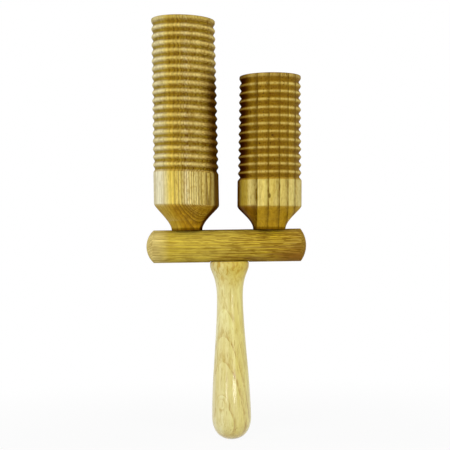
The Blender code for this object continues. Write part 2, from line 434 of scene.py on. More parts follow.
def rib_outline(block, errors):
    """Down the ribs, from the crest of the top one to the plain band."""
    points = []
    top = block["ribs"] * POINTS_PER_RIB - POINTS_PER_RIB // 2
    for index in range(top, -POINTS_PER_RIB // 2 - 1, -1):
        share = index / POINTS_PER_RIB
        rib = int(share)
        step = errors[rib + 1] - errors[rib]
        drift = errors[rib] + step * (share - rib) if share > 0 else 0
        up = max(share, 0) / block["ribs"]
        crest = block["low_rib"] + up * (block["mouth"] - block["low_rib"])
        peak = crest if index > 0 else block["band"]
        groove = crest - block["rib_depth"] * (1 + DEEPER * drift)
        points.append((groove + (peak - groove) * rib_wave(share),
                       block["ribs_start"] + share * block["pitch"] + drift + up * CREEP))
    return points


print("A rib is", POINTS_PER_RIB, "points tall")

# %% [markdown]
# The outline of a block starts in the middle of the bore's floor, climbs the bore, goes
# over the rim and down the ribs and the band, and curves in to the foot. It ends in the
# hole for the dowel. The wood inside the bore is never varnished, so the faces there get
# a second material.

# %% Turn one block
BORE, BORE_FLOOR = 0.0160, 0.0240
BARE_OUT, BARE_DOWN = 0.0003, 0.0010       # faces this close to the bore are bare too
FLOOR_CORNER, INNER_EDGE, OUTER_EDGE = 0.0010, 0.0006, 0.0007
SHOULDER_PULL, FOOT_PULL, FOOT_END = 0.0027, 0.0065, 0.0003
JOINT_EDGE = 0.0002              # how far a foot is drawn in at the joint


def block_outline(block):
    """The whole outline of a block, with a random error for each rib."""
    dice = random.Random(block["seed"])
    inner = [dice.uniform(-RIB_ERROR, RIB_ERROR) for rib in range(block["ribs"] - 1)]
    errors = [0] + inner + [0]
    rim = block["ribs_start"] + block["ribs"] * block["pitch"]
    bore = [(0, BORE_FLOOR)]
    bore += arc((BORE - FLOOR_CORNER, BORE_FLOOR + FLOOR_CORNER), FLOOR_CORNER, -90, 0)
    mouth = arc((BORE + INNER_EDGE, rim - INNER_EDGE), INNER_EDGE, 180, 90)
    mouth += arc((block["mouth"] - OUTER_EDGE, rim - OUTER_EDGE), OUTER_EDGE, 90, 0)
    foot = curve((block["band"], block["shoulder"]),
                 (block["band"], block["shoulder"] - SHOULDER_PULL),
                 (block["foot"], FOOT_PULL), (block["foot"], FOOT_END))
    hole, depth = DOWEL_HOLE
    socket = [(block["foot"], 0), (block["foot"] - JOINT_EDGE, JOINT), (hole, JOINT),
              (hole, depth), (0, depth)]
    return bore + mouth + rib_outline(block, errors) + foot + socket


def slant(shape, amount, shoulder):
    """Slope the rings sideways, from nothing at the foot to all of it at the shoulder."""
    for vert in shape.verts:
        share = min(max(vert.co.z / shoulder, 0), 1)
        vert.co.z -= amount * share * vert.co.x


def turn_block(name, block, seat, node):
    """A finished block on its seat, in the place of the model's plain one."""
    shape = turn(block_outline(block))
    for face in shape.faces:
        middle = face.calc_center_median()
        inside = Vector((middle.x, middle.y)).length < BORE + BARE_OUT
        face.material_index = 1 if inside and middle.z > BORE_FLOOR - BARE_DOWN else 0
    slant(shape, block["slant"], block["shoulder"])
    bmesh.ops.translate(shape, verts=shape.verts, vec=(0, 0, GLUE_GAP))
    bmesh.ops.transform(shape, verts=shape.verts, matrix=seat)
    piece = off_the_lathe(shape, name)
    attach(piece, "root")
    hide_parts(node)
    return piece


# %% [markdown]
# The two blocks differ only in their numbers. The long one was held a little askew when
# its ribs were cut, so its rings and its mouth slope down to the right.

# %% Turn both blocks
LONG = dict(foot=LONG_FOOT, shoulder=0.0178, band=0.02245, ribs_start=0.0416, ribs=19,
            pitch=0.00547, rib_depth=0.00130, low_rib=0.02260, mouth=0.02205,
            slant=0.050, seed=4)
SHORT = dict(foot=SHORT_FOOT, shoulder=0.0160, band=0.02212, ribs_start=0.0358, ribs=13,
             pitch=0.00537, rib_depth=0.00150, low_rib=0.02190, mouth=0.02120,
             slant=-0.016, seed=11)
long_block = turn_block("turned_long_block", LONG, LONG_SEAT, "long_block")
short_block = turn_block("turned_short_block", SHORT, SHORT_SEAT, "short_block")

# %% [markdown]
# ### Handle
# The handle swells from a slim neck to a bulb that fills the palm, and flares to a flat
# head under the bar. Three smooth stretches draw it.

# %% Turn the handle
HANDLE_LENGTH = SEAT_BOTTOM - GLUE_GAP - model_box[0][2]
NECK, NECK_PLACE = 0.00895, 0.0243
BULB, BULB_PLACE = 0.01345, 0.1063
BRIM = 0.0010                    # radius of the head's upper edge
END_PULL, HEAD_PULL, HEAD_SIDE = 0.0090, 0.0067, 0.0024
BULB_DOWN, BULB_UP = 0.0086, 0.0250        # pull points on either side of the bulb
NECK_DOWN, NECK_UP = 0.0244, 0.0150        # and of the neck

end = curve((0, HANDLE_LENGTH), (END_PULL, HANDLE_LENGTH), (BULB, BULB_PLACE + BULB_DOWN),
            (BULB, BULB_PLACE))
swell = curve((BULB, BULB_PLACE), (BULB, BULB_PLACE - BULB_UP),
              (NECK, NECK_PLACE + NECK_DOWN), (NECK, NECK_PLACE), 32)
flare = curve((NECK, NECK_PLACE), (NECK, NECK_PLACE - NECK_UP),
              (HANDLE_HEAD, HEAD_PULL), (HANDLE_HEAD, HEAD_SIDE))
brim = arc((HANDLE_HEAD - BRIM, JOINT + BRIM), BRIM, 0, -90)
hole, depth = DOWEL_HOLE
handle_shape = turn(end + swell[1:] + flare[1:] + brim
                    + [(hole, JOINT), (hole, depth), (0, depth)])
bmesh.ops.translate(handle_shape, verts=handle_shape.verts, vec=(0, 0, GLUE_GAP))
bmesh.ops.transform(handle_shape, verts=handle_shape.verts, matrix=HANDLE_SEAT)
handle = off_the_lathe(handle_shape, "turned_handle")
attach(handle, "root")
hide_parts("handle")
print("Handle is", round(HANDLE_LENGTH * 1000, 1), "mm long")

# %% [markdown]
# ## The wood
# Wood is drawn by how it grew. Each year adds a layer that starts pale and ends in a
# thin, darker line, so the first group lays flat layers across X, with the grain along
# Z, and bends them with noise. It gives the dark line and a random tone for each year.
# A Wave texture could draw the lines too, but it can't tell one year from the next.

# %% Group: years of growth
def stretched(tree, vector, share):
    """A vector with a share of its Z, which draws a pattern out along the grain."""
    inputs = {0: vector, 1: (1, 1, share)}
    return put(tree, "VectorMath", inputs, operation="MULTIPLY").outputs[0]


def noise(tree, vector, scale, detail, roughness=0.5, distortion=0.0):
    """The value of a Noise Texture."""
    inputs = {"Vector": vector, "Scale": scale, "Detail": detail, "Roughness": roughness,
              "Distortion": distortion}
    return put(tree, "TexNoise", inputs).outputs[0]


years_tree, given, out = group(
    "Years of growth",
    {"Vector": (VECTOR, None), "Year": (FLOAT, 0.002), "Bend": (FLOAT, 1.0),
     "Bend size": (FLOAT, 60.0), "Line": (FLOAT, 3.0)},
    {"Late wood": FLOAT, "Tone": FLOAT, "Depth": FLOAT})
tree = years_tree
grain = stretched(tree, given["Vector"], 0.14)
bends = noise(tree, grain, given["Bend size"], 3.0, roughness=0.45)
across = split(tree, given["Vector"])[0]
bent = times(tree, sums(tree, "SUBTRACT", bends, 0.5), given["Bend"])
depth_in_years = sums(tree, "ADD", sums(tree, "DIVIDE", across, given["Year"]), bent)
line = sums(tree, "POWER", sums(tree, "FRACT", depth_in_years), given["Line"])
edge = ranged(tree, sums(tree, "FRACT", depth_in_years), 1.0, 0.95)
year = sums(tree, "FLOOR", depth_in_years)
tone = put(tree, "TexWhiteNoise", {"W": year}, noise_dimensions="1D").outputs[0]
tree.links.new(times(tree, line, edge), out["Late wood"])
tree.links.new(tone, out["Tone"])
tree.links.new(depth_in_years, out["Depth"])
print("Group ready:", tree.name)

# %% [markdown]
# Closer up, wood is a bundle of fibres with open pores between them. Both are noise that
# is stretched along the grain: a fine one for the fibres, and a sparse one, cut off
# sharply, for the short dark dashes of the pores. A coarse one mottles the wood where it
# took up more of the varnish, and a small one flecks it.

# %% Group: fibres and pores
fibre_tree, given, out = group(
    "Fibres and pores",
    {"Vector": (VECTOR, None), "Fibre size": (FLOAT, 900.0), "Pore size": (FLOAT, 700.0),
     "Pore amount": (FLOAT, 0.3)},
    {"Fibre": FLOAT, "Streak": FLOAT, "Pore": FLOAT, "Mottle": FLOAT, "Fleck": FLOAT})
tree = fibre_tree
long_grain = stretched(tree, given["Vector"], 0.025)
fibre = noise(tree, long_grain, given["Fibre size"], 4.0, roughness=0.6)
streak = noise(tree, long_grain, times(tree, given["Fibre size"], 0.32), 2.0)
pits = noise(tree, stretched(tree, given["Vector"], 0.09), given["Pore size"], 1.0)
patches = stretched(tree, given["Vector"], 0.35)
mottle = noise(tree, patches, 420.0, 3.0, roughness=0.65, distortion=0.4)
fleck = noise(tree, patches, 1150.0, 1.0)
limit = sums(tree, "SUBTRACT", 0.78, times(tree, given["Pore amount"], 0.25))
pore = ranged(tree, sums(tree, "SUBTRACT", pits, limit), 0.0, 0.05)
tree.links.new(ranged(tree, fibre, 0.30, 0.70), out["Fibre"])
tree.links.new(ranged(tree, streak, 0.30, 0.70), out["Streak"])
tree.links.new(pore, out["Pore"])
tree.links.new(ranged(tree, mottle, 0.42, 0.68), out["Mottle"])
tree.links.new(ranged(tree, fleck, 0.48, 0.66), out["Fleck"])
print("Group ready:", tree.name)

# %% [markdown]
# The ribs wear and stain in a pattern of their own: the stick rubs the crests pale, and
# dust and varnish gather in the grooves, which also get painted shade. The distance from
# the axis says how high a point is on its rib. The crests get slightly lower towards the
# mouth, so the group allows for that taper. The rings slope a little too, so the group
# measures their height along the slope. The ring of the mouth is neither crest nor groove.

# %% Group: rubbed ribs
ribs_tree, given, out = group(
    "Rubbed ribs",
    {"Vector": (VECTOR, None), "Low rib": (FLOAT, 0.022), "Taper": (FLOAT, 0.0),
     "Rib depth": (FLOAT, 0.0013), "Ribs start": (FLOAT, 0.04), "Rim": (FLOAT, 0.1),
     "Slant": (FLOAT, 0.0)},
    {"Crest": FLOAT, "Groove": FLOAT, "Ribbed": FLOAT, "Level": FLOAT, "Side": FLOAT})
tree = ribs_tree
parts = split(tree, given["Vector"])
flat = put(tree, "CombineXYZ", {0: parts[0], 1: parts[1]}).outputs[0]
radius = put(tree, "VectorMath", {0: flat}, operation="LENGTH").outputs["Value"]
level = sums(tree, "MULTIPLY_ADD", parts[0], given["Slant"], parts[2])
above = sums(tree, "SUBTRACT", level, given["Ribs start"])
crest_line = sums(tree, "SUBTRACT", given["Low rib"], times(tree, above, given["Taper"]))
below = sums(tree, "DIVIDE", sums(tree, "SUBTRACT", crest_line, radius), given["Rib depth"])
ribbed = ranged(tree, above, -0.0022, -0.0004)
mouth = ranged(tree, sums(tree, "SUBTRACT", given["Rim"], above), 0.0002, 0.0008, 0.25, 1.0)
sides = times(tree, ribbed, mouth)
tree.links.new(times(tree, ranged(tree, below, 0.40, 0.00), sides), out["Crest"])
tree.links.new(times(tree, ranged(tree, below, 0.08, 0.95), sides), out["Groove"])
tree.links.new(ribbed, out["Ribbed"])
tree.links.new(above, out["Level"])
tree.links.new(sums(tree, "DIVIDE", parts[0], radius), out["Side"])
print("Group ready:", tree.name)

# %% [markdown]
# Where the tool cuts across the grain, the open ends of the fibres drink the varnish and
# go darker. That is on the feet, the flanks of the ribs and the ends of the bar. The
# surface normal, taken in the wood's own directions, shows how much end grain a point
# has.

# %% Group: end grain
end_tree, given, out = group(
    "End grain", {"Along": (VECTOR, (0, 0, 1)), "Start": (FLOAT, 0.15), "Full": (FLOAT, 0.7)},
    {"End grain": FLOAT})
tree = end_tree
facing = put(tree, "TexCoord").outputs["Normal"]
lean = put(tree, "VectorMath", {0: facing, 1: given["Along"]},
           operation="DOT_PRODUCT").outputs["Value"]
tree.links.new(ranged(tree, sums(tree, "ABSOLUTE", lean), given["Start"], given["Full"]),
               out["End grain"])
print("Group ready:", tree.name)

# %% [markdown]
# All the varnished pieces share one kind of shader: wood below, and a clear coat over it.
# Most of the shine is the coat's. Its roughness is a plain number on the shader, while
# colour, roughness and bump come from the groups.

# %% Varnished wood
SATIN = {"Specular IOR Level": 0.0, "Coat Roughness": 0.20}
GLOSSY = {"Specular IOR Level": 0.3, "Coat Roughness": 0.15}


def new_wood(name, finish):
    """An empty material with a principled shader of the given finish, and its tree."""
    material = bpy.data.materials.new(name)
    material.use_nodes = True
    tree = material.node_tree
    tree.nodes.clear()
    shader = put(tree, "BsdfPrincipled", {"Metallic": 0.0, "IOR": 1.5, **finish})
    put(tree, "OutputMaterial", {"Surface": shader.outputs[0]})
    return material, tree, shader


def wood_place(tree, place, rotation=(0, 0, 0)):
    """Object coordinates moved so that the wood's grain runs along Z through its axis."""
    spot = put(tree, "TexCoord").outputs["Object"]
    inputs = {"Vector": spot, "Location": place, "Rotation": rotation}
    return put(tree, "Mapping", inputs, vector_type="TEXTURE").outputs[0]


def turned_round(tree, vector, degrees, tilt=0.0):
    """Turn the layers of growth round the grain, and tilt them off it."""
    turned = (0, math.radians(tilt), math.radians(degrees))
    inputs = {"Vector": vector, "Rotation": turned}
    return put(tree, "Mapping", inputs, vector_type="TEXTURE").outputs[0]


def knot_mask(tree, vector, place, size):
    """1 in the middle of a knot, and 0 from its edge on."""
    inputs = {"Vector": vector, "Location": place, "Scale": size}
    inside = put(tree, "Mapping", inputs, vector_type="TEXTURE").outputs[0]
    return put(tree, "TexGradient", {"Vector": inside}, gradient_type="SPHERICAL").outputs[0]


def colours(tree, value, stops):
    """A Color Ramp from a list of (place, colour)."""
    ramp = put(tree, "ValToRGB", {0: value})
    ramp.color_ramp.elements.remove(ramp.color_ramp.elements[1])
    for number, (position, colour) in enumerate(stops):
        if number == 0:
            ramp.color_ramp.elements[0].position = position
        else:
            ramp.color_ramp.elements.new(position)
        ramp.color_ramp.elements[number].color = (*colour, 1)
    return ramp.outputs[0]


def roughened(tree, shader, fibres, smoothest, variation):
    """Let the shader's roughness vary with the fibres."""
    rough = sums(tree, "ADD", smoothest, times(tree, fibres["Fibre"], variation))
    tree.links.new(rough, shader.inputs["Roughness"])


def bumped(tree, shader, height, distance):
    """Feed a height to the shader's normal, with its distance in metres."""
    bump = put(tree, "Bump", {"Height": height, "Distance": distance, "Strength": 1.0})
    tree.links.new(bump.outputs[0], shader.inputs["Normal"])


def open_grain(tree, shader, fibres, pore_depth, distance):
    """Raise the fibres, and sink the pores between them."""
    pores = times(tree, fibres["Pore"], -pore_depth)
    bumped(tree, shader, sums(tree, "ADD", fibres["Fibre"], pores), distance)


print("Varnished wood ready")

# %% [markdown]
# Both blocks are marked in the same places. The end grain of the foot is soaked with
# varnish, fingers have darkened the land below the rim, and the foot is darker just above
# the joint, partly from glue pressed out there and partly from painted contact shade. Each
# mark is a mask from 0 to 1 that mostly follows the height.

# %% Marks that both blocks share
SOAKED_FOOT = (0.0110, 0.0060)   # heights over the seat: none at the first, all at the last
# Glue and painted contact shade at the foot, as heights over the seat
GLUE_AND_CONTACT_SHADE = (0.0024, 0.0010)
FINGERED_LAND = (0.0036, 0.0026)           # depths under the rim


def on_ribs(tree, ribs, mask, plain, ribbed):
    """A mask with one strength on the plain band, and another on the ribs."""
    return times(tree, mask, ranged(tree, ribs["Ribbed"], 0, 1, plain, ribbed))


def block_marks(tree, local, block):
    """A block's rubbed ribs, and masks of what is soaked, fingered, and glued with painted contact
    shade.
    """
    height_of_ribs = block["ribs"] * block["pitch"]
    ribs = place_group(tree, ribs_tree, {
        "Vector": local, "Low rib": block["low_rib"], "Rib depth": block["rib_depth"],
        "Taper": (block["low_rib"] - block["mouth"]) / height_of_ribs,
        "Ribs start": block["ribs_start"] + GLUE_GAP, "Rim": height_of_ribs,
        "Slant": block["slant"]})
    height = split(tree, local)[2]
    soaked = on_ribs(tree, ribs, place_group(tree, end_tree, {})["End grain"], 1.0, 0.4)
    soaked = sums(tree, "MAXIMUM", soaked, ranged(tree, height, *SOAKED_FOOT))
    land = [height_of_ribs - depth for depth in FINGERED_LAND]
    return ribs, soaked, ranged(tree, ribs["Level"], *land), ranged(tree, height, *GLUE_AND_CONTACT_SHADE)


def varnish_block(tree, shader, fibres, colour, dull):
    """Colour a block, and varnish it wherever it isn't dull."""
    tree.links.new(colour, shader.inputs["Base Color"])
    tree.links.new(ranged(tree, dull, 0.0, 0.8, 0.12, 0.0), shader.inputs["Coat Weight"])
    roughened(tree, shader, fibres, 0.38, 0.14)
    open_grain(tree, shader, fibres, 1.0, 0.00006)


print("Marks of the blocks ready")

# %% [markdown]
# ### Wood of the long block
# Its years run straight up the tube and cut the surface at an angle: faint and wide ones
# on the left, darker and narrower ones towards the bark on the right. Adding the square
# of the distance into the bark side narrows them there. Below the ribs the curve of the
# foot cuts through the same layers, which sweeps the lines down to the right.

# %% Lay the years of the long block
long_wood, tree, shader = new_wood("long_block_wood", SATIN)
LONG_AT = tuple(LONG_SEAT.to_translation())
local = wood_place(tree, LONG_AT, (0, LONG_LEAN, 0))
layers = turned_round(tree, local, -45)
parts = split(tree, layers)
across = parts[0]
bark_side = sums(tree, "MAXIMUM", sums(tree, "SUBTRACT", across, 0.012), 0.0)
bark_square = times(tree, bark_side, bark_side)
narrowed = sums(tree, "MULTIPLY_ADD", bark_square, 150.0, across)
years = put(tree, "CombineXYZ", {0: narrowed, 1: parts[1], 2: parts[2]}).outputs[0]
growth = place_group(tree, years_tree, {
    "Vector": years, "Year": 0.0026, "Bend": 1.0, "Bend size": 90.0, "Line": 1.9})
fibres = place_group(tree, fibre_tree, {
    "Vector": layers, "Fibre size": 1100.0, "Pore size": 1500.0, "Pore amount": 0.6})
ribs, soaked, fingered, glued_and_shaded = block_marks(tree, local, LONG)
print("Years of the long block laid")

# %% [markdown]
# From left to right the wood goes from cream through gold and a pale streak to tan. The
# lines, tones, streaks, fibres, mottling, flecks and pores lie over that, one after
# another. The ribs are rougher than the band, so the last three are stronger there.

# %% Colour the long block
band = colours(tree, spread(tree, across, -0.008, 0.024), [
    (0.03, (0.81, 0.78, 0.55)), (0.28, (0.85, 0.81, 0.57)), (0.39, (0.86, 0.74, 0.26)),
    (0.47, (0.88, 0.66, 0.09)), (0.58, (0.86, 0.65, 0.11)), (0.69, (0.82, 0.66, 0.15)),
    (0.77, (1.00, 0.91, 0.56)), (0.81, (0.98, 0.82, 0.30)), (0.89, (1.00, 0.87, 0.33)),
    (0.95, (0.74, 0.56, 0.12))])
line_depth = on_ribs(tree, ribs, ranged(tree, across, 0.005, 0.013, 0.42, 1.15), 1.0, 0.93)
streak_depth = ranged(tree, across, -0.002, 0.012, 0.20, 0.60)
flecks = on_ribs(tree, ribs, fibres["Fleck"], 0.25, 0.50)
flecks = times(tree, flecks, ranged(tree, across, 0.006, 0.016, 0.6, 2.0))
wood = layered(tree, band, [
    (times(tree, growth["Late wood"], line_depth), (0.20, 0.11, 0.006)),
    (times(tree, growth["Tone"], 0.28), (0.42, 0.30, 0.05)),
    (times(tree, fibres["Streak"], streak_depth), (0.28, 0.17, 0.015)),
    (times(tree, fibres["Fibre"], 0.18), (0.82, 0.72, 0.36)),
    (on_ribs(tree, ribs, fibres["Mottle"], 0.2, 0.4), (0.30, 0.18, 0.01)),
    (flecks, (0.58, 0.43, 0.13), "MULTIPLY"),
    (on_ribs(tree, ribs, fibres["Pore"], 0.3, 0.8), (0.12, 0.07, 0.01)),
    (soaked, (0.61, 0.44, 0.07), "MULTIPLY")])
print("Long block coloured")

# %% [markdown]
# The stick rubbed the crests pale, and the grooves are dark, partly from stain and partly
# from painted shade. The right flank and edge get painted shade where the short block
# shades them, about as high as its own rim, and there the wood has no gloss left.

# %% Wear and shade the long block
# Painted shade of the short block: heights of its rim, below which this block darkens
SHORT_BLOCK_SHADE = (0.118, 0.092)         # heights over the seat: none at the first, all at the last

parts = split(tree, local)
# Painted shade: the right flank and edge darken where the short block shades them
below_short_rim = ranged(tree, parts[2], *SHORT_BLOCK_SHADE)
painted_flank_shade = times(tree, ranged(tree, parts[0], 0.0120, 0.0200), below_short_rim)
painted_flank_shade = times(tree, painted_flank_shade, ribs["Ribbed"])
painted_edge_shade = times(tree, ranged(tree, ribs["Side"], 0.79, 0.91), below_short_rim)
painted_side_shade = sums(tree, "MAXIMUM", painted_flank_shade, painted_edge_shade)
worn_and_shaded = layered(tree, wood, [
    # The grooves darken partly from stain and partly from painted shade
    (ribs["Groove"], (0.46, 0.36, 0.06), "MULTIPLY"),
    (times(tree, ribs["Crest"], 0.25), (0.88, 0.70, 0.20)),
    (fingered, (0.74, 0.70, 0.55), "MULTIPLY"),
    # Glue, and painted contact shade just above the joint
    (glued_and_shaded, (0.42, 0.36, 0.20), "MULTIPLY"),
    (painted_side_shade, (0.29, 0.17, 0.05), "MULTIPLY")])
varnish_block(tree, shader, fibres, worn_and_shaded, sums(tree, "MAXIMUM", painted_side_shade, glued_and_shaded))
long_block.data.materials.append(long_wood)
print("Long block finished")

# %% [markdown]
# ### Wood of the short block
# This block is sawn the other way: its years stand square to the front, so each one ends
# in a thin dark line that runs straight from the mouth to the foot. Real years are never
# equally wide, so a Color Ramp spreads them unevenly before the group counts them.

# %% Lay the years of the short block
LEFT_END, RIGHT_END = -0.022, 0.024        # of the years across the block
YEAR_ENDS = [-0.0200, -0.0085, -0.0008, 0.0067, 0.0124, 0.0174, 0.0240]

short_wood, tree, shader = new_wood("short_block_wood", SATIN)
SHORT_AT = tuple(SHORT_SEAT.to_translation())
local = wood_place(tree, SHORT_AT, (0, SHORT_LEAN, 0))
parts = split(tree, local)
uneven = colours(tree, spread(tree, parts[0], LEFT_END, RIGHT_END), [
    ((end - LEFT_END) / (RIGHT_END - LEFT_END), (number / 6,) * 3)
    for number, end in enumerate(YEAR_ENDS)])
layers = put(tree, "CombineXYZ", {0: uneven, 1: parts[1], 2: parts[2]}).outputs[0]
growth = place_group(tree, years_tree, {
    "Vector": layers, "Year": 1 / 6, "Bend": 0.10, "Bend size": 45.0, "Line": 4.2})
fibres = place_group(tree, fibre_tree, {
    "Vector": local, "Fibre size": 1000.0, "Pore size": 1500.0, "Pore amount": 0.5})
ribs, soaked, fingered, glued_and_shaded = block_marks(tree, local, SHORT)
print("Years of the short block laid")

# %% [markdown]
# The wood goes from brown at the left edge to pale tan on the right, and the brown at that
# edge is partly painted shade from the long block next to it. The same marks as on the long
# block lie over it, apart from the year lines, which come later.

# %% Colour the short block
# The darkest stops at the left edge are partly painted shade from the long block
band = colours(tree, spread(tree, parts[0], -0.022, 0.022), [
    (0.00, (0.28, 0.18, 0.015)), (0.07, (0.48, 0.33, 0.02)), (0.14, (0.58, 0.43, 0.04)),
    (0.18, (0.80, 0.67, 0.22)), (0.55, (0.74, 0.59, 0.12)), (0.80, (0.75, 0.63, 0.19)),
    (1.00, (0.71, 0.62, 0.24))])
wood = layered(tree, band, [
    (times(tree, growth["Tone"], 0.3), (0.42, 0.29, 0.06)),
    (times(tree, fibres["Streak"], 0.35), (0.34, 0.22, 0.04)),
    (times(tree, fibres["Fibre"], 0.12), (0.78, 0.66, 0.30)),
    (times(tree, fibres["Mottle"], 0.3), (0.34, 0.20, 0.01)),
    (on_ribs(tree, ribs, fibres["Fleck"], 0.3, 0.6), (0.62, 0.46, 0.14), "MULTIPLY"),
    (on_ribs(tree, ribs, fibres["Pore"], 0.4, 0.9), (0.10, 0.05, 0.01)),
    (soaked, (0.70, 0.53, 0.09), "MULTIPLY")])
print("Short block coloured")

# %% [markdown]
# The ribs of this block are stained all over, and only their crests are rubbed pale.
# Red-brown shows at the left edge of the ribs and of the block, partly heartwood and partly
# painted shade from the taller long block next to it, and the left flank of the foot is
# darker. The year lines go on after the stain, so it doesn't hide them, and one of them
# passes a pin knot on the band.

# %% Wear and shade the short block
PIN_KNOT, PIN_KNOT_SIZE = (-0.0008, -0.0221, 0.0224), (0.0013, 0.0013, 0.0021)

stain = sums(tree, "MULTIPLY_ADD", ribs["Crest"], -0.72, ribs["Ribbed"])
# Painted shade from the long block, with red-brown heartwood, at the left edge of the ribs and
# block
heartwood_and_shade = times(tree, ranged(tree, parts[0], -0.0120, -0.0185), ribs["Ribbed"])
heartwood_and_shade = sums(tree, "MAXIMUM", heartwood_and_shade, ranged(tree, ribs["Side"], -0.88, -0.98))
heartwood_and_shade = times(tree, heartwood_and_shade, ranged(tree, ribs["Crest"], 0, 1, 1.0, 0.45))
# Darker on the left flank of the foot
darker_left_foot = times(tree, ranged(tree, parts[0], -0.0075, -0.0110, 0.0, 0.8),
                   ranged(tree, parts[2], 0.0168, 0.0155))
broken = times(tree, growth["Late wood"], ranged(tree, fibres["Mottle"], 0, 1, 0.95, 1.35))
knot = ranged(tree, knot_mask(tree, local, PIN_KNOT, PIN_KNOT_SIZE), 0.0, 0.5, 0.0, 0.9)
worn_and_shaded = layered(tree, wood, [
    (stain, (0.69, 0.58, 0.22), "MULTIPLY"),
    # The grooves darken partly from stain and partly from painted shade
    (ribs["Groove"], (0.56, 0.46, 0.14), "MULTIPLY"),
    (times(tree, ribs["Crest"], 0.22), (0.60, 0.44, 0.11)),
    (fingered, (0.74, 0.68, 0.60), "MULTIPLY"),
    # Glue, and painted contact shade just above the joint
    (glued_and_shaded, (0.42, 0.36, 0.20), "MULTIPLY"),
    # Heartwood and painted shade at the left edge
    (heartwood_and_shade, (0.28, 0.12, 0.03), "MULTIPLY"),
    (broken, (0.12, 0.06, 0.001)),
    (knot, (0.14, 0.08, 0.008)),
    (darker_left_foot, (0.46, 0.32, 0.20), "MULTIPLY")])
varnish_block(tree, shader, fibres, worn_and_shaded, sums(tree, "MAXIMUM", heartwood_and_shade, glued_and_shaded))
short_block.data.materials.append(short_wood)
print("Short block finished")

# %% [markdown]
# ### Wood of the crossbar
# The grain runs along the bar. The rod was cut from the tangential face of a board, so
# its dark lines wander. The wood is a shade deeper and more olive than the blocks, with
# open pores like short pencil marks, and a reddish patch low on the right. Lines, pores
# and soaked end grain all get stronger towards that end.

# %% Finish the crossbar
bar_wood, tree, shader = new_wood("crossbar_wood", {**SATIN, "Coat Weight": 0.06})
local = wood_place(tree, (0, 0, BAR_HEIGHT), (0, math.pi / 2, 0))
layers = turned_round(tree, local, -25, tilt=2.0)
growth = place_group(tree, years_tree, {
    "Vector": layers, "Year": 0.0016, "Bend": 4.5, "Bend size": 95.0, "Line": 2.0})
fibres = place_group(tree, fibre_tree, {
    "Vector": layers, "Fibre size": 900.0, "Pore size": 1250.0, "Pore amount": 1.0})
end_grain = place_group(tree, end_tree, {"Along": (1, 0, 0), "Start": 0.5})["End grain"]
axes = split(tree, local)
base = colours(tree, ranged(tree, axes[2], BAR_LOW.x, BAR_HIGH.x), [
    (0.0, (0.93, 0.78, 0.30)), (0.06, (0.73, 0.56, 0.055)), (0.5, (0.75, 0.57, 0.065)),
    (0.9, (0.70, 0.48, 0.010)), (1.0, (0.60, 0.39, 0.04))])
line_depth = ranged(tree, axes[2], -0.030, 0.035, 0.55, 1.35)
red_patch = times(tree, ranged(tree, axes[2], 0.018, 0.045),
                  ranged(tree, axes[0], -0.001, 0.006))
red_patch = times(tree, red_patch, ranged(tree, fibres["Streak"], 0, 1, 0.3, 0.9))
soaked = times(tree, end_grain, ranged(tree, axes[2], -0.030, 0.030, 0.1, 0.5))
pitted = times(tree, fibres["Pore"], ranged(tree, axes[2], -0.040, 0.040, 0.25, 0.80))
wood = layered(tree, base, [
    (times(tree, growth["Tone"], 0.3), (0.34, 0.22, 0.03)),
    (times(tree, growth["Late wood"], line_depth), (0.23, 0.115, 0.005)),
    (times(tree, fibres["Streak"], 0.34), (0.22, 0.13, 0.008)),
    (times(tree, fibres["Mottle"], 0.30), (0.24, 0.13, 0.004)),
    (times(tree, fibres["Fibre"], 0.14), (0.66, 0.53, 0.20)),
    (red_patch, (0.24, 0.10, 0.010)),
    (soaked, (0.26, 0.15, 0.01)),
    (pitted, (0.17, 0.08, 0.004))])
tree.links.new(wood, shader.inputs["Base Color"])
roughened(tree, shader, fibres, 0.36, 0.14)
open_grain(tree, shader, fibres, 1.2, 0.00007)
crossbar.data.materials.clear()
crossbar.data.materials.append(bar_wood)
print("Crossbar finished")

# %% [markdown]
# ### Wood of the handle
# The palest and glossiest piece. Its years lie nearly flat behind the front of the bulb,
# so the swelling cuts through them one by one, and each shows as an oval or an arch: the
# cathedral figure. The Mapping node turns the layers round the grain and tilts them a
# little off it, which puts the figure low on the left. A small knot bulges the layers
# there, and one year is wider than the others.

# %% Lay the years of the handle
KNOT, KNOT_SIZE = (-0.0072, -0.0120, -0.0353), (0.0070, 0.0070, 0.0080)

handle_wood, tree, shader = new_wood("handle_wood", GLOSSY)
local = wood_place(tree, (0, 0, 0))
layers = turned_round(tree, local, -117, tilt=9.5)
knot = knot_mask(tree, local, KNOT, KNOT_SIZE)
parts = split(tree, layers)
bulged = sums(tree, "MULTIPLY_ADD", ranged(tree, knot, 0.0, 1.0), 0.0065, parts[0])
wide_year = ranged(tree, bulged, 0.0135, 0.0175, 0.0, 0.0022)
years = sums(tree, "SUBTRACT", bulged, wide_year)
layers = put(tree, "CombineXYZ", {0: years, 1: parts[1], 2: parts[2]}).outputs[0]
growth = place_group(tree, years_tree, {
    "Vector": layers, "Year": 0.0042, "Bend": 0.35, "Bend size": 70.0, "Line": 1.7})
fibres = place_group(tree, fibre_tree, {
    "Vector": local, "Fibre size": 900.0, "Pore size": 1300.0, "Pore amount": 0.6})
end_grain = place_group(tree, end_tree, {"Start": 0.30})["End grain"]
axes = split(tree, local)
print("Years of the handle laid")

# %% [markdown]
# The wood turns from grey-white on the left to yellow on the right. The lines are broken,
# each year has its own strength, from a ramp over the depth, and they are stronger on the
# right. The head is golden and blotchy, because its end grain drank the varnish.

